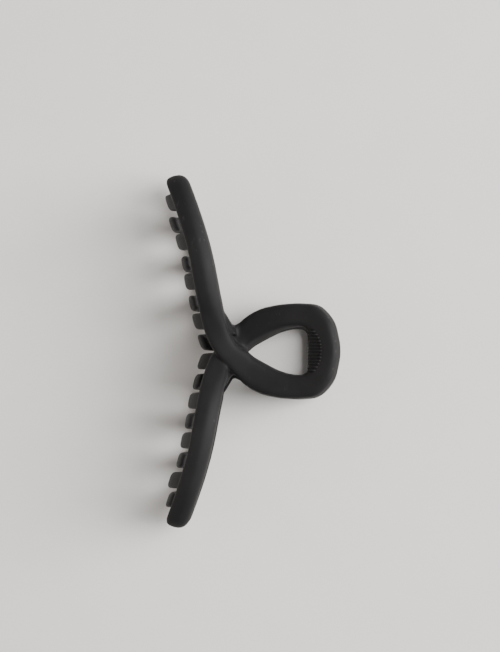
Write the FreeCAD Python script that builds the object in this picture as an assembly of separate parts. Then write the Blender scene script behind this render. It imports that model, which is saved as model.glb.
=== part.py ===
import FreeCAD, Part
import math
import os

# Loop-handle hair claw clip, closed, lying on the back jaw.
# +X runs from the teeth to the handles, +Y along the hinge pin, +Z up.
# The two jaws are one moulding used twice: the back jaw is the front jaw
# turned half a turn about the X axis of the middle plane.
# The origin is on the resting plane, under the middle of the clip.

V = FreeCAD.Vector

# ---------------------------------------------------------------- dimensions
CLIP_HALF_DEPTH = 19.65      # middle plane above the resting plane
CENTRE_X = 0.38              # brings the middle of the clip's length across the pin to X = 0

# hinge
HINGE_X = -4.25              # pin axis, in the middle plane, along Y
PIN_R = 1.00
BORE_R = 1.05                # running fit, 0.05 mm radial
LUG_R = 3.25
LUG_OUTER = (4.65, 6.40)     # Y span of the outer lug of the front jaw
LUG_INNER = (-4.50, -2.35)   # Y span of the inner lug of the front jaw
HEAD_R = 1.55
HEAD_T = 0.55

# spring
WIRE_R = 0.45
COIL_R = 2.35                # mean radius of the coil
COIL_PITCH = 0.95
LEG_RISE_DEG = 20.0          # slope of a leg where it leaves the coil
LEG_STRAIGHT = 3.30          # length of a leg before it turns outward
LEG_BEND = 0.90              # how far either side of its corner the leg curves
LEG_END = (5.60, 4.20, 4.15)  # end of the front leg, from the pin axis

# teeth
TOOTH_PITCH = 11.34
TOOTH_SHIFT = 2.90           # offsets the row so the two jaws interleave
TOOTH_COUNT = 8
TOOTH_ROOT_W = 5.00
TOOTH_TIP_W = 4.10
TOOTH_ROOT_T = 2.90
TOOTH_TIP_T = 2.20
TOOTH_REACH = 2.60           # how far a tip passes the middle plane
TOOTH_START = 1.50           # middle of the tooth, out from the middle of the arm: at its root,
TOOTH_BELLY = 4.90           # where it is furthest out,
TOOTH_RETURN = 0.80          # and how far it comes back by its tip
TOOTH_TRIM = [0.45, 0.0, 0.0, 0.45, -0.1, 0.0, 0.0, -0.70]  # added to the belly of each tooth

# grip ribs on the end of each handle
RIB_COUNT = 13
RIB_PITCH = 0.92
RIB_W = 0.50
RIB_H = 0.34
RIB_FROM = 15.86             # X where the bars start, just proud of the opening's edge

# One half of the strand, from an arm tip over the crossing and along the loop to the far
# end of the handle: outer edge x, y, inner edge x, y, height of the section's middle above
# the middle plane where the strand passes over, and where it passes under, half thickness,
# slope of the section across its width, squareness.
HALF = [
    # xo, yo, xi, yi, zo, zu, b, m, n
    (-23.61, 45.35, -17.66, 47.47, 10.60, 10.60, 2.30, -0.220, 2.60),
    (-22.45, 42.12, -16.45, 44.21, 12.13, 12.13, 2.42, -0.232, 2.60),
    (-21.34, 38.88, -15.29, 40.92, 13.54, 13.54, 2.52, -0.241, 2.60),
    (-20.30, 35.65, -14.18, 37.57, 14.73, 14.73, 2.58, -0.248, 2.60),
    (-19.31, 32.43, -13.16, 34.18, 15.68, 15.68, 2.61, -0.250, 2.60),
    (-18.41, 29.21, -12.23, 30.73, 16.36, 16.36, 2.60, -0.250, 2.60),
    (-17.71, 25.93, -11.41, 27.27, 16.75, 16.75, 2.60, -0.250, 2.60),
    (-17.13, 22.58, -10.70, 23.83, 16.79, 16.80, 2.60, -0.251, 2.60),
    (-16.54, 19.18, -10.06, 20.42, 16.44, 16.46, 2.60, -0.251, 2.60),
    (-15.91, 15.77, -9.40, 17.04, 15.66, 15.62, 2.59, -0.247, 2.60),
    (-15.24, 12.34, -8.71, 13.69, 14.40, 14.23, 2.56, -0.234, 2.59),
    (-14.50, 8.85, -8.05, 10.41, 12.72, 12.15, 2.52, -0.212, 2.60),
    (-13.46, 5.27, -7.14, 7.36, 11.15, 9.90, 2.48, -0.170, 2.65),
    (-11.94, 1.76, -6.14, 4.41, 10.20, 7.80, 2.43, -0.114, 2.74),
    (-9.88, -1.42, -4.44, 1.88, 9.60, 6.50, 2.40, -0.080, 2.80),
    (-7.40, -4.30, -1.71, 0.16, 9.30, 6.05, 2.40, -0.100, 2.81),
    (-4.64, -7.16, 0.38, -1.65, 9.20, 6.25, 2.40, -0.126, 2.80),
    (-1.24, -10.09, 2.37, -2.85, 9.40, 7.20, 2.40, -0.114, 2.80),
    (2.54, -12.03, 4.69, -4.17, 9.90, 8.60, 2.40, -0.078, 2.79),
    (6.33, -12.96, 7.42, -5.55, 10.65, 10.03, 2.40, -0.031, 2.80),
    (10.10, -13.42, 10.42, -6.51, 11.55, 11.36, 2.40, 0.019, 2.85),
    (14.10, -13.58, 13.36, -6.81, 12.65, 12.65, 2.40, 0.112, 2.95),
    (19.02, -12.92, 15.37, -6.22, 14.02, 14.02, 2.44, 0.274, 3.08),
    (22.95, -8.95, 16.03, -4.86, 14.96, 14.96, 2.50, 0.417, 3.20),
    (24.45, -4.29, 16.07, -2.62, 15.28, 15.28, 2.50, 0.484, 3.29),
]
FAR = (24.98, 0.00, 16.06, 0.00, 15.35, 15.35, 2.50, 0.502, 3.31)
TIP_RUN = 3.75               # length of the rounded tip beyond the first section
SECTION_POINTS = 20


# ---------------------------------------------------------------- strand
def add(a, b, k=1.0):
    return (a[0] + k * b[0], a[1] + k * b[1], a[2] + k * b[2])


def sub(a, b):
    return (a[0] - b[0], a[1] - b[1], a[2] - b[2])


def cross(a, b):
    return (
        a[1] * b[2] - a[2] * b[1],
        a[2] * b[0] - a[0] * b[2],
        a[0] * b[1] - a[1] * b[0],
    )


def unit(a):
    n = math.sqrt(a[0] ** 2 + a[1] ** 2 + a[2] ** 2)
    return (a[0] / n, a[1] / n, a[2] / n)


def stations():
    """Every section of the whole strand, from the upper tip to the lower tip: centre, outward width direction, half reach in plan, half thickness, squareness."""
    rows = []
    for xo, yo, xi, yi, zo, zu, b, m, n in HALF:
        rows.append((xo, yo, xi, yi, zo, b, m, n))
    xo, yo, xi, yi, zo, zu, b, m, n = FAR
    rows.append((xo, yo, xi, yi, zo, b, m, n))
    for xo, yo, xi, yi, zo, zu, b, m, n in reversed(HALF):
        rows.append((xo, -yo, xi, -yi, zu, b, m, n))
    out = []
    for xo, yo, xi, yi, z, b, m, n in rows:
        c = ((xo + xi) / 2, (yo + yi) / 2, z)
        e = (xo - xi, yo - yi, 0.0)
        half = math.hypot(e[0], e[1]) / 2
        e = unit(e)
        w = unit((e[0], e[1], m))
        # half width along w whose rounded section reaches "half" in plan
        tilt_c, tilt_s = 1 / math.hypot(1, m), abs(m) / math.hypot(1, m)
        p = n / (n - 1.0)
        a = ((half**p - (b * tilt_s) ** p) ** (1 / p)) / tilt_c
        out.append([c, w, a, b, n])
    return out


def frames(rows):
    out = []
    for i, (c, w, a, b, n) in enumerate(rows):
        lo, hi = rows[max(i - 1, 0)][0], rows[min(i + 1, len(rows) - 1)][0]
        t = unit(sub(hi, lo))
        nn = unit(cross(t, w))
        if nn[2] < 0:
            nn = (-nn[0], -nn[1], -nn[2])
        out.append((c, t, w, nn, a, b, n))
    return out


def ring(c, w, nn, a, b, n, grow=0.0, count=SECTION_POINTS):
    """Points round one rounded section, from the middle of its underside back to the same point."""
    pts = []
    for k in range(count + 1):
        th = 2 * math.pi * k / count - math.pi / 2
        ct, st = math.cos(th), math.sin(th)
        if abs(ct) < 1e-12:
            ct = 0.0
        u = math.copysign(abs(ct) ** (2 / n), ct) * (a + grow)
        v = math.copysign(abs(st) ** (2 / n), st) * (b + grow)
        pts.append(V(*add(add(c, w, u), nn, v)))
    pts[-1] = pts[0]
    return pts


def tube(rings):
    """A closed solid whose side is one smooth surface through the sections."""
    surface = Part.BSplineSurface()
    surface.interpolate(rings)
    u0, u1, v0, v1 = surface.bounds()
    faces = [surface.toShape()]
    for u in (u0, u1):
        faces.append(Part.Face(Part.Wire([surface.uIso(u).toShape()])))
    shell = Part.makeShell(faces)
    shell.sewShape()
    solid = Part.Solid(shell if shell.ShapeType == "Shell" else shell.Shells[0])
    if solid.Volume < 0:
        solid.reverse()
    return solid


def cap_sections(c, t, w, nn, a, b, n):
    """Sections of the rounded tip, beyond the first or last section."""
    out = []
    for s in (0.30, 0.55, 0.74, 0.87, 0.95, 0.985, 0.998):
        k = (1 - s**2.8) ** (1 / 2.8)
        cc = add(add(c, t, TIP_RUN * s), (-0.35, 0, -0.9), s * s)
        out.append((cc, w, nn, a * k, b * (0.35 + 0.65 * k) * (k**0.35), n))
    return out


def strand():
    """The strand in two lengths, each from the far end of the handle to an arm tip."""
    fr = frames(stations())
    head, tail = fr[0], fr[-1]
    back = (-head[1][0], -head[1][1], -head[1][2])
    plain = [(c, w, nn, a, b, n) for c, t, w, nn, a, b, n in fr]
    mid = len(plain) // 2
    over = list(reversed(plain[: mid + 1])) + cap_sections(
        head[0], back, head[2], head[3], *head[4:]
    )
    under = plain[mid:] + cap_sections(tail[0], tail[1], tail[2], tail[3], *tail[4:])
    return [tube([ring(*r) for r in rows]) for rows in (over, under)], fr


# ---------------------------------------------------------------- teeth
def arm_at(fr, y):
    """Centre, width direction and sizes of the arm where it crosses a given Y, found from its own tip."""
    rows = fr if y > 0 else list(reversed(fr))
    for p, q in zip(rows, rows[1:]):
        y0, y1 = p[0][1], q[0][1]
        if min(y0, y1) <= y <= max(y0, y1):
            break
    else:
        p = q = rows[0]
        y0, y1 = y, y + 1
    k = (y - y0) / (y1 - y0)
    mix = lambda i: tuple(p[i][m] + k * (q[i][m] - p[i][m]) for m in range(3))
    a, b = p[4] + k * (q[4] - p[4]), p[5] + k * (q[5] - p[5])
    return mix(0), unit(mix(2)), unit(mix(3)), a, b


def tooth(fr, y, trim):
    """A curved tooth in the plane of turning. It leaves the outer side of the arm, bellies outward and comes back a little at its tip."""
    c, w, nn, a, b = arm_at(fr, y)
    lo, hi = arm_at(fr, y - 2.0), arm_at(fr, y + 2.0)
    lean = (hi[0][0] - lo[0][0]) / (hi[0][1] - lo[0][1])
    top = c[2] - 0.5
    height = top + TOOTH_REACH
    rows = []
    for s in (0.0, 0.12, 0.26, 0.42, 0.58, 0.73, 0.85, 0.93, 0.975, 0.997):
        if s < 0.52:
            out = TOOTH_START + (TOOTH_BELLY + trim - TOOTH_START) * math.sin(
                0.5 * math.pi * s / 0.52
            )
        else:
            out = TOOTH_BELLY + trim - TOOTH_RETURN * ((s - 0.52) / 0.48) ** 2
        k = 1.0 if s < 0.78 else (1 - ((s - 0.78) / 0.22) ** 2.4) ** (1 / 2.4)
        k = max(k, 0.15)
        wide = TOOTH_ROOT_W + (TOOTH_TIP_W - TOOTH_ROOT_W) * s
        thick = TOOTH_ROOT_T + (TOOTH_TIP_T - TOOTH_ROOT_T) * s
        rows.append(
            ((c[0] - out, y, top - s * height), wide / 2 * (0.3 + 0.7 * k), thick / 2 * k)
        )
    rings = []
    for i, (p, hw, ht) in enumerate(rows):
        q0, q1 = rows[max(i - 1, 0)][0], rows[min(i + 1, len(rows) - 1)][0]
        d = unit(sub(q1, q0))
        across = unit(cross((0, 1, 0), d))
        pts = []
        for k in range(17):
            th = 2 * math.pi * k / 16 + 0.25 * math.pi
            ct, st = math.cos(th), math.sin(th)
            u = math.copysign(abs(ct) ** (2 / 3.0), ct) * hw
            v = math.copysign(abs(st) ** (2 / 3.0), st) * ht
            pts.append(V(*add(add(p, (lean, 1, 0), u), across, v)))
        pts[-1] = pts[0]
        rings.append(pts)
    return tube(rings)


# ---------------------------------------------------------------- lugs
def lug(y0, y1, top):
    """A hinge ear: a barrel round the pin with a foot that runs up into the crossing."""
    x, r = HINGE_X, LUG_R
    barrel = Part.makeCylinder(r, y1 - y0, V(x, y0, 0), V(0, 1, 0))
    foot = Part.makePolygon(
        [
            V(x - r, y0, 0),
            V(x - r - 0.5, y0, top),
            V(x + r + 0.5, y0, top),
            V(x + r, y0, 0),
            V(x - r, y0, 0),
        ]
    )
    foot = Part.Face(foot).extrude(V(0, y1 - y0, 0))
    return barrel.fuse(foot)


def bore():
    return Part.makeCylinder(BORE_R, 20, V(HINGE_X, -10, 0), V(0, 1, 0))


# ---------------------------------------------------------------- grip ribs
def ribs(fr):
    """Short raised bars side by side across the end of the handle, from the loop's opening to a curved line on the outer face."""
    mid = len(fr) // 2
    out = []
    for j in range(RIB_COUNT):
        y = (j - (RIB_COUNT - 1) / 2) * RIB_PITCH
        rows = fr[mid - 3 : mid + 4]
        for p, q in zip(rows, rows[1:]):
            if min(p[0][1], q[0][1]) <= y <= max(p[0][1], q[0][1]):
                k = (y - p[0][1]) / (q[0][1] - p[0][1])
                f = [
                    tuple(p[i][m] + k * (q[i][m] - p[i][m]) for m in range(3))
                    for i in (0, 2)
                ]
                a, b = p[4] + k * (q[4] - p[4]), p[5] + k * (q[5] - p[5])
                n = p[6] + k * (q[6] - p[6])
        w = unit((f[1][0], 0.0, f[1][2]))
        nn = unit((-w[2], 0.0, w[0]))
        c = (f[0][0], y - RIB_W / 2, f[0][2])
        curve = Part.BSplineCurve()
        curve.interpolate(
            Points=ring(c, w, nn, a, b, n, grow=RIB_H, count=28)[:-1], PeriodicFlag=True
        )
        body = Part.Face(Part.Wire([curve.toShape()])).extrude(V(0, RIB_W, 0))
        # length of the bar: a shallow arc in plan
        end_x = 10.2 + math.sqrt(max(9.3**2 - y * y, 0.0))
        keep = Part.makeBox(
            end_x - RIB_FROM, RIB_W + 2, 40, V(RIB_FROM, y - RIB_W / 2 - 1, f[0][2] - 1.3)
        )
        piece = body.common(keep)
        out.append(piece)
    return out


# ---------------------------------------------------------------- jaw
def jaw():
    halves, fr = strand()
    pieces = [halves[1]]
    count = TOOTH_COUNT
    for i in range(count):
        y = TOOTH_SHIFT + TOOTH_PITCH * (i - (count - 1) / 2)
        pieces.append(tooth(fr, y, TOOTH_TRIM[i]))
    pieces.append(lug(LUG_OUTER[0], LUG_OUTER[1], 6.2))
    pieces.append(lug(LUG_INNER[0], LUG_INNER[1], 8.2))
    pieces += ribs(fr)
    body = halves[0].fuse(pieces)
    body = body.cut(bore())
    solids = sorted(body.Solids, key=lambda s: -s.Volume)
    print("jaw solids", len(body.Solids), [round(s.Volume, 2) for s in solids][:4])
    return solids[0]


# ---------------------------------------------------------------- pin and spring
def pin():
    y_back = -LUG_OUTER[1]
    y_front = LUG_OUTER[1] + 0.10
    shaft = Part.makeCylinder(
        PIN_R, y_front - y_back, V(HINGE_X, y_back, 0), V(0, 1, 0)
    )
    out = shaft
    for y, s in ((y_back, -1), (y_front, 1)):
        ball_r = (HEAD_R**2 + HEAD_T**2) / (2 * HEAD_T)
        ball = Part.makeSphere(ball_r, V(HINGE_X, y - s * (ball_r - HEAD_T), 0))
        keep = Part.makeCylinder(HEAD_R, HEAD_T, V(HINGE_X, y, 0), V(0, s, 0))
        out = out.fuse(ball.common(keep))
    return out.removeSplitter().Solids[0]


def spring():
    """A close coil round the pin. Each end leaves it at a tangent, turns outward and bears on the inner side of one handle."""
    beta = math.radians(LEG_RISE_DEG)
    turn = 4 * math.pi - math.pi / 2 - beta
    length = COIL_PITCH * turn / math.pi
    climb = COIL_PITCH / (2 * math.pi * COIL_R)
    helix = Part.makeHelix(COIL_PITCH, length, COIL_R)
    section = Part.Wire(
        [Part.makeCircle(WIRE_R, V(COIL_R, 0, 0), V(0, 1, climb))]
    )
    coil = Part.Wire(helix.Edges).makePipeShell([section], True, True)
    coil.translate(V(0, 0, -length / 2))
    coil.rotate(V(0, 0, 0), V(0, 0, 1), -math.degrees(turn))
    coil.rotate(V(0, 0, 0), V(1, 0, 0), -90)
    start = V(-COIL_R * math.sin(beta), length / 2, COIL_R * math.cos(beta))
    along = V(math.cos(beta), climb, math.sin(beta))
    along.normalize()
    knee = start + along * LEG_STRAIGHT
    end = V(*LEG_END)
    onward = end - knee
    onward.normalize()
    p, q = knee - along * LEG_BEND, knee + onward * LEG_BEND
    # middle of the arc that touches both straight lengths
    half = 0.5 * along.getAngle(onward)
    inward = onward - along
    inward.normalize()
    radius = LEG_BEND / math.tan(half)
    middle = knee + inward * (radius / math.cos(half) - radius)
    edges = [
        Part.LineSegment(start, p).toShape(),
        Part.Arc(p, middle, q).toShape(),
        Part.LineSegment(q, end).toShape(),
    ]
    ring0 = Part.Wire([Part.makeCircle(WIRE_R, start, along)])
    leg = Part.Wire(edges).makePipeShell([ring0], True, False)
    other = leg.copy()
    other.rotate(V(0, 0, 0), V(1, 0, 0), 180)
    out = coil.fuse([leg, other])
    out.translate(V(HINGE_X, 0, 0))
    print("spring solids", len(out.Solids))
    return out.Solids[0]


def main():
    os.makedirs("parts", exist_ok=True)
    front = jaw()
    back = front.copy()
    back.rotate(V(0, 0, 0), V(1, 0, 0), 180)
    up = V(CENTRE_X, 0, CLIP_HALF_DEPTH)
    for name, shape in (
        ("front_jaw", front),
        ("back_jaw", back),
        ("hinge_pin", pin()),
        ("torsion_spring", spring()),
    ):
        shape.translate(up)
        b = shape.BoundBox
        print(
            name,
            shape.isValid(),
            shape.ShapeType,
            round(shape.Volume, 1),
            [round(v, 2) for v in (b.XMin, b.XMax, b.YMin, b.YMax, b.ZMin, b.ZMax)],
        )
        shape.exportStep("parts/" + name + ".step")


main()
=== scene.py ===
import math

import bmesh
import bpy
import numpy as np
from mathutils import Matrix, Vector
from mathutils.bvhtree import BVHTree


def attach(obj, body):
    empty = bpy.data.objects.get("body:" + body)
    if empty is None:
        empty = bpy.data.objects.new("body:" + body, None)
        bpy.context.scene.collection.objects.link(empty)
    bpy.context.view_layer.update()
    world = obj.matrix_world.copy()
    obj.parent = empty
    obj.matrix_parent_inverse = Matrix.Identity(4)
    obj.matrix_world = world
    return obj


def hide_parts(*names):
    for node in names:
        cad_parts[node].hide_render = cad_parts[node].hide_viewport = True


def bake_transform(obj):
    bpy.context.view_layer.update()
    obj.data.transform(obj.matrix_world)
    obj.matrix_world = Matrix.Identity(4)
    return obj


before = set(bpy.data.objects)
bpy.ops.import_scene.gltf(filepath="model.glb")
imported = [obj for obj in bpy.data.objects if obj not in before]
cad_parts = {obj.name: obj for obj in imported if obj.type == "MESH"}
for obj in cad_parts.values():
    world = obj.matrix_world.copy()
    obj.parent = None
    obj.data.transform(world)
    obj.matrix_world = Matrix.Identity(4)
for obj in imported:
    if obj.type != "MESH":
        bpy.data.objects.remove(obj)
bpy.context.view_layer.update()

MM = 0.001
MID = 0.01965          # middle plane between the jaws
CX = 0.00038           # middle of the clip's length, relative to the part's X
HINGE = Vector((-0.00387, 0.0, MID))


# ------------------------------------------------------------------ materials
def new_material(name):
    m = bpy.data.materials.new(name)
    m.use_nodes = True
    nt = m.node_tree
    nt.nodes.clear()
    out = nt.nodes.new("ShaderNodeOutputMaterial")
    p = nt.nodes.new("ShaderNodeBsdfPrincipled")
    nt.links.new(p.outputs["BSDF"], out.inputs["Surface"])
    return m, nt, p


def noise(nt, coord, scale, detail=2.0, rough=0.5):
    n = nt.nodes.new("ShaderNodeTexNoise")
    n.inputs["Scale"].default_value = scale
    n.inputs["Detail"].default_value = detail
    n.inputs["Roughness"].default_value = rough
    nt.links.new(coord, n.inputs["Vector"])
    return n.outputs["Fac"]


def remap(nt, value, a, b, c, d):
    n = nt.nodes.new("ShaderNodeMapRange")
    n.inputs["From Min"].default_value = a
    n.inputs["From Max"].default_value = b
    n.inputs["To Min"].default_value = c
    n.inputs["To Max"].default_value = d
    nt.links.new(value, n.inputs["Value"])
    return n.outputs["Result"]


def math_node(nt, op, a, b):
    n = nt.nodes.new("ShaderNodeMath")
    n.operation = op
    for i, v in enumerate((a, b)):
        if isinstance(v, (int, float)):
            n.inputs[i].default_value = v
        else:
            nt.links.new(v, n.inputs[i])
    return n.outputs["Value"]


def mix_colour(nt, fac, a, b):
    n = nt.nodes.new("ShaderNodeMix")
    n.data_type = "RGBA"
    if isinstance(fac, (int, float)):
        n.inputs[0].default_value = fac
    else:
        nt.links.new(fac, n.inputs[0])
    for sock, v in ((n.inputs[6], a), (n.inputs[7], b)):
        if isinstance(v, tuple):
            sock.default_value = (*v, 1.0)
        else:
            nt.links.new(v, sock)
    return n.outputs[2]


def plastic(name, seed):
    """Soft-touch black plastic: fine matt grain, slow changes of tone and gloss, a few pale specks, rub marks, and a
    painted highlight along the convex edges.
    """
    m, nt, p = new_material(name)
    tc = nt.nodes.new("ShaderNodeTexCoord")
    mp = nt.nodes.new("ShaderNodeMapping")
    mp.inputs["Location"].default_value = (seed, seed * 0.37, -seed * 0.61)
    nt.links.new(tc.outputs["Object"], mp.inputs["Vector"])
    co = mp.outputs["Vector"]
    grain = noise(nt, co, 5200.0, 3.0, 0.6)
    cloud = noise(nt, co, 130.0, 3.0, 0.55)
    slow = noise(nt, co, 38.0, 2.0, 0.5)
    dust = noise(nt, co, 2300.0, 1.0, 0.4)
    speck = remap(nt, dust, 0.765, 0.81, 0.0, 1.0)
    scratch_map = nt.nodes.new("ShaderNodeMapping")
    scratch_map.inputs["Scale"].default_value = (1.0, 0.16, 1.0)
    scratch_map.inputs["Rotation"].default_value = (0.0, 0.0, 0.35)
    nt.links.new(co, scratch_map.inputs["Vector"])
    rub = noise(nt, scratch_map.outputs["Vector"], 900.0, 2.0, 0.6)
    rubs = remap(nt, rub, 0.66, 0.76, 0.0, 1.0)
    rubs = math_node(nt, "MULTIPLY", rubs, remap(nt, slow, 0.5, 0.62, 0.0, 1.0))
    # painted highlight on the edges: the pointiness of the dense mesh, kept narrow, lightens the colour along convex
    # edges
    geo = nt.nodes.new("ShaderNodeNewGeometry")
    edge = remap(nt, geo.outputs["Pointiness"], 0.545, 0.62, 0.0, 1.0)
    base = mix_colour(nt, remap(nt, cloud, 0.3, 0.7, 0.0, 1.0), (0.0090, 0.0087, 0.0093), (0.0132, 0.0127, 0.0131))
    # painted edge highlight: a lighter warm grey mixed in along the convex edges
    base = mix_colour(nt, math_node(nt, "MULTIPLY", edge, 0.30), base, (0.045, 0.042, 0.040))
    base = mix_colour(nt, math_node(nt, "MULTIPLY", speck, 0.16), base, (0.20, 0.19, 0.18))
    base = mix_colour(nt, math_node(nt, "MULTIPLY", rubs, 0.20), base, (0.10, 0.097, 0.095))
    nt.links.new(base, p.inputs["Base Color"])
    rough = remap(nt, cloud, 0.3, 0.7, 0.60, 0.70)
    rough = math_node(nt, "SUBTRACT", rough, math_node(nt, "MULTIPLY", edge, 0.08))
    rough = math_node(nt, "ADD", rough, math_node(nt, "MULTIPLY", speck, 0.15))
    nt.links.new(rough, p.inputs["Roughness"])
    p.inputs["IOR"].default_value = 1.47
    p.inputs["Specular IOR Level"].default_value = 0.24
    p.inputs["Sheen Weight"].default_value = 0.02
    p.inputs["Sheen Roughness"].default_value = 0.5
    b1 = nt.nodes.new("ShaderNodeBump")
    b1.inputs["Strength"].default_value = 0.18
    b1.inputs["Distance"].default_value = 0.00003
    nt.links.new(grain, b1.inputs["Height"])
    b2 = nt.nodes.new("ShaderNodeBump")
    b2.inputs["Strength"].default_value = 0.25
    b2.inputs["Distance"].default_value = 0.00012
    nt.links.new(cloud, b2.inputs["Height"])
    nt.links.new(b1.outputs["Normal"], b2.inputs["Normal"])
    nt.links.new(b2.outputs["Normal"], p.inputs["Normal"])
    return m


def steel(name, colour, rough0, rough1, stretch):
    """Drawn steel: fine lines along the piece and slight changes of tone."""
    m, nt, p = new_material(name)
    tc = nt.nodes.new("ShaderNodeTexCoord")
    mp = nt.nodes.new("ShaderNodeMapping")
    mp.inputs["Scale"].default_value = stretch
    nt.links.new(tc.outputs["Object"], mp.inputs["Vector"])
    lines = noise(nt, mp.outputs["Vector"], 2600.0, 3.0, 0.6)
    cloud = noise(nt, tc.outputs["Object"], 420.0, 2.0, 0.5)
    base = mix_colour(nt, remap(nt, cloud, 0.3, 0.7, 0.0, 1.0), colour, tuple(v * 0.82 for v in colour))
    base = mix_colour(nt, math_node(nt, "MULTIPLY", remap(nt, lines, 0.35, 0.7, 0.0, 1.0), 0.35), base, tuple(v * 0.6 for v in colour))
    nt.links.new(base, p.inputs["Base Color"])
    p.inputs["Metallic"].default_value = 1.0
    nt.links.new(remap(nt, lines, 0.3, 0.7, rough0, rough1), p.inputs["Roughness"])
    b = nt.nodes.new("ShaderNodeBump")
    b.inputs["Strength"].default_value = 0.25
    b.inputs["Distance"].default_value = 0.00002
    nt.links.new(lines, b.inputs["Height"])
    nt.links.new(b.outputs["Normal"], p.inputs["Normal"])
    return m


MAT_FRONT = plastic("soft_touch_plastic_front", 0.013)
MAT_BACK = plastic("soft_touch_plastic_back", 0.057)
MAT_PIN = steel("drawn_steel_pin", (0.58, 0.58, 0.59), 0.22, 0.40, (1.0, 0.08, 1.0))
MAT_SPRING = steel("drawn_spring_wire", (0.48, 0.48, 0.50), 0.20, 0.36, (1.0, 1.0, 1.0))


# ------------------------------------------------------------------ helpers
def mesh_object(name, verts, faces, mat):
    me = bpy.data.meshes.new(name)
    me.from_pydata(verts, [], faces)
    me.validate()
    ob = bpy.data.objects.new(name, me)
    bpy.context.scene.collection.objects.link(ob)
    if mat is not None:
        me.materials.append(mat)
    me.polygons.foreach_set("use_smooth", [True] * len(me.polygons))
    return ob


def evaluated(ob):
    dg = bpy.context.evaluated_depsgraph_get()
    return bpy.data.meshes.new_from_object(ob.evaluated_get(dg))


def part(x, y, z):
    """A point in the jaw's own measures, in mm from the hinge's middle plane, as metres in the row frame."""
    return (x * MM + CX, y * MM, z * MM + MID)


def hull_of(points):
    bm = bmesh.new()
    for p in points:
        bm.verts.new(part(*p))
    bm.verts.ensure_lookup_table()
    r = bmesh.ops.convex_hull(bm, input=bm.verts)
    junk = [g for g in r["geom_interior"] + r["geom_unused"] if isinstance(g, bmesh.types.BMVert)]
    if junk:
        bmesh.ops.delete(bm, geom=list(set(junk)), context="VERTS")
    bmesh.ops.recalc_face_normals(bm, faces=bm.faces)
    bm.verts.index_update()
    vs = [tuple(v.co) for v in bm.verts]
    fs = [tuple(v.index for v in f.verts) for f in bm.faces]
    bm.free()
    return vs, fs


# ------------------------------------------------------------------ jaw
VOXEL = 0.29

HALF = [
    # xo, yo, xi, yi, zo, zu, b, m, n
    (-23.61, 45.35, -17.66, 47.47, 10.60, 10.60, 2.30, -0.220, 2.60),
    (-22.45, 42.12, -16.45, 44.21, 12.13, 12.13, 2.42, -0.232, 2.60),
    (-21.34, 38.88, -15.29, 40.92, 13.54, 13.54, 2.52, -0.241, 2.60),
    (-20.30, 35.65, -14.18, 37.57, 14.73, 14.73, 2.58, -0.248, 2.60),
    (-19.31, 32.43, -13.16, 34.18, 15.68, 15.68, 2.61, -0.250, 2.60),
    (-18.41, 29.21, -12.23, 30.73, 16.36, 16.36, 2.60, -0.250, 2.60),
    (-17.71, 25.93, -11.41, 27.27, 16.75, 16.75, 2.60, -0.250, 2.60),
    (-17.13, 22.58, -10.70, 23.83, 16.79, 16.80, 2.60, -0.251, 2.60),
    (-16.54, 19.18, -10.06, 20.42, 16.44, 16.46, 2.60, -0.251, 2.60),
    (-15.91, 15.77, -9.40, 17.04, 15.66, 15.62, 2.59, -0.247, 2.60),
    (-15.24, 12.34, -8.71, 13.69, 14.40, 14.23, 2.56, -0.234, 2.59),
    (-14.50, 8.85, -8.05, 10.41, 12.72, 12.15, 2.52, -0.212, 2.60),
    (-13.46, 5.27, -7.14, 7.36, 11.15, 9.90, 2.48, -0.170, 2.65),
    (-11.94, 1.76, -6.14, 4.41, 10.20, 7.80, 2.43, -0.114, 2.74),
    (-9.88, -1.42, -4.44, 1.88, 9.60, 6.50, 2.40, -0.080, 2.80),
    (-7.40, -4.30, -1.71, 0.16, 9.30, 6.05, 2.40, -0.100, 2.81),
    (-4.64, -7.16, 0.38, -1.65, 9.20, 6.25, 2.40, -0.126, 2.80),
    (-1.24, -10.09, 2.37, -2.85, 9.40, 7.20, 2.40, -0.114, 2.80),
    (2.54, -12.03, 4.69, -4.17, 9.90, 8.60, 2.40, -0.078, 2.79),
    (6.33, -12.96, 7.42, -5.55, 10.65, 10.03, 2.40, -0.031, 2.80),
    (10.10, -13.42, 10.42, -6.51, 11.55, 11.36, 2.40, 0.019, 2.85),
    (14.10, -13.58, 13.36, -6.81, 12.65, 12.65, 2.40, 0.112, 2.95),
    (19.02, -12.92, 15.37, -6.22, 14.02, 14.02, 2.44, 0.274, 3.08),
    (22.95, -8.95, 16.03, -4.86, 14.96, 14.96, 2.50, 0.417, 3.20),
    (24.45, -4.29, 16.07, -2.62, 15.28, 15.28, 2.50, 0.484, 3.29),
]
FAR = (24.98, 0.00, 16.06, 0.00, 15.35, 15.35, 2.50, 0.502, 3.31)


def unit(v):
    return v / np.linalg.norm(v)


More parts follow.
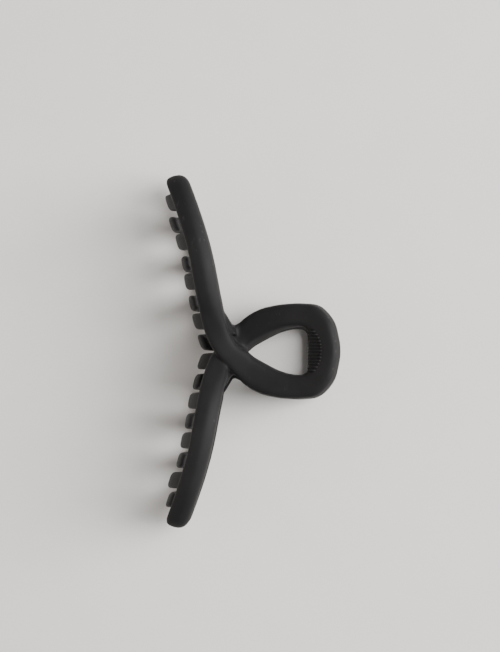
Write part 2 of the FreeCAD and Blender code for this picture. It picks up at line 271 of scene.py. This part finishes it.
def strand_rows():
    """The moulding's sections from the upper tip to the lower tip, in mm, at five times the part's density: centre, outward direction, half width, half thickness, place along the strand from 0 to 1."""
    rows = [(r[0], r[1], r[2], r[3], r[4], r[6], r[7], r[8]) for r in HALF]
    r = FAR
    rows.append((r[0], r[1], r[2], r[3], r[4], r[6], r[7], r[8]))
    rows += [(r[0], -r[1], r[2], -r[3], r[5], r[6], r[7], r[8]) for r in reversed(HALF)]
    p = np.array(rows)
    n = len(p)
    out = []
    sub = 5
    for i in range(n - 1):
        q = [p[max(i - 1, 0)], p[i], p[i + 1], p[min(i + 2, n - 1)]]
        for k in range(sub if i < n - 2 else sub + 1):
            t = k / sub
            v = 0.5 * (
                2 * q[1]
                + (q[2] - q[0]) * t
                + (2 * q[0] - 5 * q[1] + 4 * q[2] - q[3]) * t * t
                + (3 * q[1] - q[0] - 3 * q[2] + q[3]) * t ** 3
            )
            out.append((i + t, v))
    res = []
    for at, (xo, yo, xi, yi, z, b, m, nn) in out:
        c = np.array([(xo + xi) / 2, (yo + yi) / 2, z])
        e = np.array([xo - xi, yo - yi, 0.0])
        half = np.linalg.norm(e) / 2
        e = unit(e)
        w = unit(np.array([e[0], e[1], m]))
        tc, ts = 1 / math.hypot(1, m), abs(m) / math.hypot(1, m)
        nn = 4.4
        pw = nn / (nn - 1.0)
        a = ((half ** pw - (b * ts) ** pw) ** (1 / pw)) / tc
        res.append([at / (n - 1), c, w, a, b])
    return res


def frames():
    rows = strand_rows()
    n = len(rows)
    full = []
    for i, (at, c, w, a, b) in enumerate(rows):
        t = unit(rows[min(i + 1, n - 1)][1] - rows[max(i - 1, 0)][1])
        up = unit(np.cross(t, w))
        if up[2] < 0:
            up = -up
        # 1 along an arm, 0 along the loop
        d = (abs(at - 0.5) * 2 - 0.50) / 0.14
        d = min(max(d, 0.0), 1.0)
        arm = d * d * (3 - 2 * d)
        # the loop's under length leans its inner wall to the opening, most where it nears the crossing
        lean = float(np.interp(at, (0.52, 0.58, 0.66, 0.71, 0.74, 0.77), (0.0, 0.10, 0.24, 0.36, 0.22, 0.0)))
        full.append((c, t, w, up, a + 0.12, b + 0.03, arm, lean))
    return full


def section(c, w, up, a, b, arm, lean, count=72):
    """One section. An arm's face has two planes: the wider one leans to the teeth, the narrower one to the hinge."""
    pts = []
    for k in range(count):
        th = 2 * math.pi * k / count
        ct, st = math.cos(th), math.sin(th)
        q = 4.6 if ct > 0 else 4.2 * (1 - arm) + 3.6 * arm
        u = math.copysign(abs(ct) ** (2 / q), ct)
        v = math.copysign(abs(st) ** (2 / q), st) * b
        if v > 0:
            edge = max((-u - 0.12) / 0.88, 0.0)
            fall = (math.sqrt(edge * edge + 0.012) - math.sqrt(0.012)) * 1.12 * (b / 2.6)
            v -= arm * fall * min(v / (0.5 * b), 1.0)
            # the loop's face is very slightly crowned
            v -= (1 - arm) * 0.10 * u * u * min(v / (0.5 * b), 1.0)
        if u < 0 and lean > 0:
            rise = min(max((v / b + 0.55) / 1.35, 0.0), 1.0)
            u += lean * (-u) * rise * rise * (3 - 2 * rise)
        pts.append(c + w * (u * a) + up * v)
    return pts


def closed_tube(rings):
    m = len(rings[0])
    vs = [part(*p) for r in rings for p in r]
    fs = []
    for i in range(len(rings) - 1):
        for r in range(m):
            q = (r + 1) % m
            fs.append((i * m + r, i * m + q, (i + 1) * m + q, (i + 1) * m + r))
    fs.append(tuple(reversed(range(m))))
    fs.append(tuple((len(rings) - 1) * m + r for r in range(m)))
    return vs, fs


def strand_tubes(full):
    def cap(row, way):
        c, t, w, up, a, b, arm, lean = row
        out = []
        for s in (0.12, 0.25, 0.38, 0.5, 0.6, 0.7, 0.78, 0.85, 0.9, 0.94, 0.97, 0.99, 0.998):
            k = (1 - s ** 3.3) ** (1 / 3.3)
            cc = c + t * (way * 4.15 * s) + np.array([-0.35, 0, -0.9]) * s * s
            out.append(section(cc, w, up, a * k, b * (0.35 + 0.65 * k) * (k ** 0.35), arm, lean))
        return out

    mid = len(full) // 2
    rings = [section(r[0], *r[2:]) for r in full]
    return [
        closed_tube(list(reversed(cap(full[0], -1))) + rings[: mid + 1]),
        closed_tube(rings[mid:] + cap(full[-1], 1)),
    ]


def arm_at(full, y):
    rows = full if y > 0 else list(reversed(full))
    for p, q in zip(rows, rows[1:]):
        if min(p[0][1], q[0][1]) <= y <= max(p[0][1], q[0][1]):
            k = (y - p[0][1]) / (q[0][1] - p[0][1])
            return p[0] + (q[0] - p[0]) * k
    p, q = rows[0], rows[1]
    return p[0] + (q[0] - p[0]) * ((y - p[0][1]) / (q[0][1] - p[0][1]))


TRIM = [0.45, 0.0, 0.0, 0.45, -0.1, 0.0, 0.0, -0.70]


def teeth(full):
    out = []
    for i in range(8):
        y = 2.90 + 11.34 * (i - 3.5)
        c = arm_at(full, y)
        lo, hi = arm_at(full, y - 2.0), arm_at(full, y + 2.0)
        lean = (hi[0] - lo[0]) / (hi[1] - lo[1])
        lean = max(-0.34, min(0.34, lean))
        top = c[2] - 0.5
        height = top + 2.60
        rows = []
        ss = [j / 40 for j in range(32)] + [0.80, 0.83, 0.86, 0.885, 0.91, 0.93, 0.95, 0.965, 0.98, 0.99, 0.997]
        for s in ss:
            if s < 0.52:
                out_by = 1.50 + (4.90 + TRIM[i] - 1.50) * math.sin(0.5 * math.pi * s / 0.52)
            else:
                out_by = 4.90 + TRIM[i] - 0.80 * ((s - 0.52) / 0.48) ** 2
            k = 1.0 if s < 0.78 else (1 - ((s - 0.78) / 0.22) ** 2.4) ** (1 / 2.4)
            k = max(k, 0.15)
            wide = 5.00 + (4.10 - 5.00) * s
            thick = 2.90 + (2.20 - 2.90) * s
            rows.append((np.array([c[0] - out_by, y, top - s * height]), wide / 2 * (0.3 + 0.7 * k), thick / 2 * k))
        rings = []
        for j, (p, hw, ht) in enumerate(rows):
            d = unit(rows[min(j + 1, len(rows) - 1)][0] - rows[max(j - 1, 0)][0])
            across = unit(np.cross([0, 1, 0], d))
            pts = []
            for k in range(40):
                th = 2 * math.pi * k / 40
                ct, st = math.cos(th), math.sin(th)
                u = math.copysign(abs(ct) ** (2 / 3.6), ct) * hw
                v = math.copysign(abs(st) ** (2 / 3.0), st) * ht
                pts.append(p + np.array([lean, 1, 0]) * u + across * v)
            rings.append(pts)
        out.append(closed_tube(rings))
    return out


LUGS = ((4.65, 6.40, 6.2), (-4.50, -2.35, 8.2))
LUG_X, LUG_R, BORE_R = -4.25, 3.25, 1.05


def lug(y0, y1, top):
    """A hinge ear with its bore: a barrel whose foot runs up into the crossing."""
    loops = []
    n = 96
    for k in range(n):
        th = 2 * math.pi * k / n
        c, s = math.cos(th), math.sin(th)
        r = LUG_R
        if s > 1e-6:
            r = top / s
            den = abs(c) - 0.5 * s / top
            if den > 1e-6:
                r = min(r, LUG_R / den)
        loops.append((c, s, r))
    vs, fs = [], []
    for y in (y0, y1):
        for c, s, r in loops:
            vs.append(part(LUG_X + r * c, y, r * s))
        for c, s, r in loops:
            vs.append(part(LUG_X + BORE_R * c, y, BORE_R * s))
    for k in range(n):
        q = (k + 1) % n
        o0, o1, i0, i1 = k, q, n + k, n + q
        O0, O1, I0, I1 = 2 * n + k, 2 * n + q, 3 * n + k, 3 * n + q
        fs += [(o0, o1, O1, O0), (i1, i0, I0, I1), (o1, o0, i0, i1), (O0, O1, I1, I0)]
    return vs, fs


WEBS = [
    # fillers in the corners of the crossing: each point has its own top, all share the bottom given last
    ([(-8.35, 11.9, 12.9), (-5.60, 7.35, 10.2), (-4.6, 4.6, 9.4), (-9.6, 6.0, 12.4)], 4.6),
    ([(-5.60, 7.35, 8.6), (-3.4, 8.3, 7.8), (-2.6, 6.6, 8.0), (-4.6, 4.6, 8.3)], 4.6),
    ([(-7.9, -10.2, 8.6), (-5.70, -6.3, 8.4), (-4.5, -4.6, 8.6), (-9.0, -6.0, 9.0)], 4.6),
    ([(-5.70, -6.3, 8.6), (-4.0, -7.2, 8.9), (-2.6, -6.4, 9.0), (-4.5, -4.6, 9.0)], 4.6),
    ([(-3.6, 2.4, 8.6), (-1.35, 0.0, 8.2), (-3.6, -2.4, 9.4)], 5.0),
]


def make_jaw():
    full = frames()
    pieces = strand_tubes(full) + teeth(full) + [lug(*r) for r in LUGS]
    for outline, z0 in WEBS:
        pieces.append(hull_of([(x, y, z) for x, y, zt in outline for z in (z0, zt)]))
    verts, faces = [], []
    for vs, fs in pieces:
        n = len(verts)
        verts += vs
        faces += [tuple(i + n for i in f) for f in fs]
    work = mesh_object("jaw_work", verts, faces, None)
    rm = work.modifiers.new("remesh", "REMESH")
    rm.mode = "VOXEL"
    rm.voxel_size = VOXEL * MM
    rm.adaptivity = 0.0
    me = evaluated(work)
    bpy.data.objects.remove(work)
    # keep the largest island only
    bm = bmesh.new()
    bm.from_mesh(me)
    bm.verts.ensure_lookup_table()
    seen = [False] * len(bm.verts)
    groups = []
    for v in bm.verts:
        if seen[v.index]:
            continue
        stack, grp = [v], []
        seen[v.index] = True
        while stack:
            q = stack.pop()
            grp.append(q)
            for e in q.link_edges:
                o = e.other_vert(q)
                if not seen[o.index]:
                    seen[o.index] = True
                    stack.append(o)
        groups.append(grp)
    groups.sort(key=len, reverse=True)
    for g in groups[1:]:
        bmesh.ops.delete(bm, geom=g, context="VERTS")
    bm.to_mesh(me)
    bm.free()
    # smoothing: umbrella steps with a counter step, so thin parts keep their size
    n = len(me.vertices)
    co = np.empty(n * 3)
    me.vertices.foreach_get("co", co)
    co = co.reshape(-1, 3)
    e = np.empty(len(me.edges) * 2, dtype=np.int64)
    me.edges.foreach_get("vertices", e)
    e = e.reshape(-1, 2)
    deg = np.bincount(e.ravel(), minlength=n).astype(float)[:, None]

    def step(c, k):
        s = np.zeros_like(c)
        for a in range(3):
            s[:, a] = np.bincount(e[:, 0], c[e[:, 1], a], n) + np.bincount(e[:, 1], c[e[:, 0], a], n)
        return c + k * (s / deg - c)

    for _ in range(26):
        co = step(co, 0.55)
        co = step(co, -0.50)
    # moulded fillets in the corners of the crossing
    pos = (co - np.array([CX, 0.0, MID])) / MM
    soft = np.zeros(n)
    for cx, cy, cz, rad in ((-5.6, 7.4, 9.5, 2.6), (-5.7, -6.4, 8.0, 2.4), (-1.6, 0.0, 8.0, 2.0), (-8.0, 11.0, 12.0, 1.8)):
        d = np.linalg.norm(pos - np.array([cx, cy, cz]), axis=1)
        soft = np.maximum(soft, np.clip(1.4 - d / rad, 0.0, 1.0))
    soft = soft[:, None]
    for _ in range(40):
        co = co + soft * (step(co, 0.5) - co)
    # the grip's bars stand in a shallow recess
    pos = (co - np.array([CX, 0.0, MID])) / MM
    far_x = 10.2 + np.sqrt(np.maximum(9.3**2 - pos[:, 1] ** 2, 0.0))
    m1 = np.clip((far_x - 0.15 - pos[:, 0]) / 0.5, 0.0, 1.0)
    m2 = np.clip((6.25 - np.abs(pos[:, 1])) / 0.4, 0.0, 1.0)
    m3 = np.clip((pos[:, 2] - 15.4) / 0.6, 0.0, 1.0) * (pos[:, 0] > 15.0)
    sink = (m1 * m2 * m3)[:, None]
    co = co - sink * 0.50 * MM * np.array([[-0.45, 0.0, 0.89]])
    # the bores stay round and true to size
    for y0, y1, top in LUGS:
        d = co[:, [0, 2]] - np.array([HINGE.x, HINGE.z])
        r = np.linalg.norm(d, axis=1)
        near = (r < 1.30 * MM) & (co[:, 1] > (y0 - 0.4) * MM) & (co[:, 1] < (y1 + 0.4) * MM) & (r > 1e-7)
        inner = near & (r < 1.22 * MM)
        co[inner, 0] = HINGE.x + d[inner, 0] / r[inner] * 1.06 * MM
        co[inner, 2] = HINGE.z + d[inner, 1] / r[inner] * 1.06 * MM
    me.vertices.foreach_set("co", co.ravel())
    me.update()
    return me, co


def grip_ribs(me):
    """Bars across the handle's end, lying on the jaw's own surface."""
    bvh = BVHTree.FromPolygons([v.co.copy() for v in me.vertices], [tuple(p.vertices) for p in me.polygons])

    def height(x, y):
        p, nrm, i, d = bvh.ray_cast(Vector(part(x, y, 40.0)), Vector((0, 0, -1)))
        return (p.z - MID) / MM if p is not None else None

    verts, faces = [], []
    count, pitch, wide, high = 13, 0.92, 0.52, 0.52
    for j in range(count):
        y = (j - (count - 1) / 2) * pitch
        end = 10.2 + math.sqrt(9.3**2 - y * y)
        start = 16.10

        def level(x):
            h = [height(x, y + s * pitch / 2) for s in (-1, 1)]
            h = [v for v in h if v is not None]
            return sum(h) / len(h) + 0.46

        # the bar's top runs on straight past the rounded edge of the opening
        xa, xb = 17.3, 18.3
        za, zb = level(xa), level(xb)
        slope = (zb - za) / (xb - xa)
        line = []
        for i in range(25):
            x = start + (end - start) * i / 24
            z = level(x) if x > xa else za + slope * 0.85 * (x - xa)
            line.append((x, z))
        ring = 13
        base = len(verts)
        for i, (x, z) in enumerate(line):
            p, q = line[max(i - 1, 0)], line[min(i + 1, len(line) - 1)]
            t = Vector((q[0] - p[0], 0, q[1] - p[1])).normalized()
            up = Vector((-t.z, 0, t.x))
            if up.z < 0:
                up = -up
            tail = min((len(line) - 1 - i) / 11.0, 1.0)
            nose = min(i / 1.5, 1.0)
            k = math.sqrt(max(1 - (1 - tail) ** 2, 0.0))
            drop = 0.16 * (1 - nose) ** 2
            for r in range(ring):
                th = math.pi * r / (ring - 1)
                u = math.cos(th) * wide / 2 * (0.6 + 0.4 * k) * (1 - 0.25 * (1 - nose))
                v = math.sin(th) ** 0.7 * high * max(k, 0.1) - drop
                if r in (0, ring - 1):
                    v = -1.30 if x < xa + 0.3 else -0.75
                verts.append(part(x + up.x * v, y + u, z + up.z * v))
        m = len(line)
        for i in range(m - 1):
            for r in range(ring):
                q = (r + 1) % ring
                faces.append((base + i * ring + r, base + i * ring + q, base + (i + 1) * ring + q, base + (i + 1) * ring + r))
        faces.append(tuple(base + r for r in reversed(range(ring))))
        faces.append(tuple(base + (m - 1) * ring + r for r in range(ring)))
    return verts, faces


def flip(points):
    """Half a turn about the middle line along X."""
    return [(x, -y, 2 * MID - z) for x, y, z in points]


jaw_mesh, jaw_co = make_jaw()
jaw_faces = [tuple(p.vertices) for p in jaw_mesh.polygons]
front_pts = [tuple(c) for c in jaw_co]
front = mesh_object("front_jaw_moulding", front_pts, jaw_faces, MAT_FRONT)
back = mesh_object("back_jaw_moulding", flip(front_pts), jaw_faces, MAT_BACK)
rib_v, rib_f = grip_ribs(jaw_mesh)
front_ribs = mesh_object("front_grip_ribs", rib_v, rib_f, MAT_FRONT)
back_ribs = mesh_object("back_grip_ribs", flip(rib_v), rib_f, MAT_BACK)
for ob, body in ((front, "front"), (front_ribs, "front"), (back, "back"), (back_ribs, "back")):
    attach(ob, body)
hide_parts("front_jaw")
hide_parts("back_jaw")


# ------------------------------------------------------------------ spring
def spring_piece():
    coil_r, pitch, wire = 2.35, 0.95, 0.45
    beta = math.radians(20.0)
    turn = 4 * math.pi - math.pi / 2 - beta
    length = pitch * turn / math.pi
    climb = pitch / (2 * math.pi * coil_r)
    pts = []
    n = 200
    for i in range(n + 1):
        a = turn * (2 * i / n - 1)
        pts.append(Vector((coil_r * math.cos(a), pitch / (2 * math.pi) * a, -coil_r * math.sin(a))))
    along = Vector((math.cos(beta), climb, math.sin(beta))).normalized()
    knee = pts[-1] + along * 3.30
    end = Vector((5.60, 4.20, 4.15))
    onward = (end - knee).normalized()
    bend = 0.90
    p, q = knee - along * bend, knee + onward * bend
    leg = [pts[-1].lerp(p, i / 6) for i in range(1, 7)]
    for i in range(1, 8):
        k = i / 8
        leg.append((1 - k) ** 2 * p + 2 * k * (1 - k) * knee + k * k * q)
    leg += [q.lerp(end, i / 6) for i in range(0, 7)]
    path = [Vector((v.x, -v.y, -v.z)) for v in reversed(leg)] + pts + leg
    verts, faces = [], []
    side = Vector((0, 1, 0))
    ring = 20
    m = len(path)
    # rounded ends
    rows = [(path[i], 1.0) for i in range(m)]
    for i, (c, s) in enumerate(rows):
        t = (path[min(i + 1, m - 1)] - path[max(i - 1, 0)]).normalized()
        side = (side - t * side.dot(t)).normalized()
        over = t.cross(side)
        s = 0.72 if i in (0, m - 1) else 1.0
        for r in range(ring):
            th = 2 * math.pi * r / ring
            v = c + side * (wire * s * math.cos(th)) + over * (wire * s * math.sin(th))
            verts.append(tuple(HINGE + v * MM))
    for i in range(m - 1):
        for r in range(ring):
            w = (r + 1) % ring
            faces.append((i * ring + r, i * ring + w, (i + 1) * ring + w, (i + 1) * ring + r))
    faces.append(tuple(reversed(range(ring))))
    faces.append(tuple((m - 1) * ring + r for r in range(ring)))
    return mesh_object("hinge_spring_wire", verts, faces, MAT_SPRING)


spring = spring_piece()
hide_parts("torsion_spring")
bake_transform(spring)

# ------------------------------------------------------------------ pin
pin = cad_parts["hinge_pin"]
if pin.material_slots:
    for s in pin.material_slots:
        s.material = MAT_PIN
else:
    pin.data.materials.append(MAT_PIN)


# ------------------------------------------------------------------ stage
def floor_material():
    m, nt, p = new_material("pale_floor")
    tc = nt.nodes.new("ShaderNodeTexCoord")
    n = noise(nt, tc.outputs["Object"], 60.0, 3.0, 0.5)
    base = mix_colour(nt, remap(nt, n, 0.3, 0.7, 0.0, 1.0), (0.84, 0.815, 0.785), (0.86, 0.835, 0.805))
    nt.links.new(base, p.inputs["Base Color"])
    p.inputs["Roughness"].default_value = 0.85
    p.inputs["Specular IOR Level"].default_value = 0.25
    return m


floor = mesh_object("floor", [(-1.5, -1.5, 0), (1.5, -1.5, 0), (1.5, 1.5, 0), (-1.5, 1.5, 0)], [(0, 1, 2, 3)], floor_material())


def area(name, loc, target, power, size, size_y, colour):
    d = bpy.data.lights.new(name, "AREA")
    d.shape = "RECTANGLE"
    d.size, d.size_y = size, size_y
    d.energy = power
    d.color = colour
    o = bpy.data.objects.new(name, d)
    o.location = loc
    o.rotation_euler = (Vector(target) - Vector(loc)).to_track_quat("-Z", "Y").to_euler()
    bpy.context.scene.collection.objects.link(o)
    return o


area("key_right", (0.78, 0.12, 0.55), (0, 0, 0.02), 18.5, 0.55, 1.50, (1.0, 0.99, 0.985))
area("fill_left", (-0.60, -0.05, 0.10), (0, 0, 0.02), 1.7, 0.3, 0.9, (1.0, 0.90, 0.80))
area("top_soft", (0.50, 0.12, 0.95), (0, 0, 0.0), 10.5, 0.6, 1.2, (1.0, 1.0, 1.0))

world = bpy.data.worlds.new("soft_world")
bpy.context.scene.world = world
world.use_nodes = True
bg = world.node_tree.nodes["Background"]
bg.inputs["Color"].default_value = (1.0, 0.985, 0.97, 1.0)
bg.inputs["Strength"].default_value = 0.20

cam_data = bpy.data.cameras.new("camera")
cam_data.sensor_fit = "HORIZONTAL"
cam_data.sensor_width = 36.0
cam_data.lens = 325.0
cam_data.clip_end = 10.0
cam = bpy.data.objects.new("camera", cam_data)
AIM = Vector((-0.0004, 0.007416, MID))
TILT_X, TILT_Y = math.radians(0.3), math.radians(-1.2)
cam.location = AIM + 1.3 * Vector((math.sin(TILT_X), math.sin(TILT_Y), 1.0)).normalized()
cam.rotation_euler = (-TILT_Y, TILT_X, 0.0)
bpy.context.scene.collection.objects.link(cam)
bpy.context.scene.camera = cam

bpy.context.view_layer.update()


print("jaw faces", len(jaw_faces))
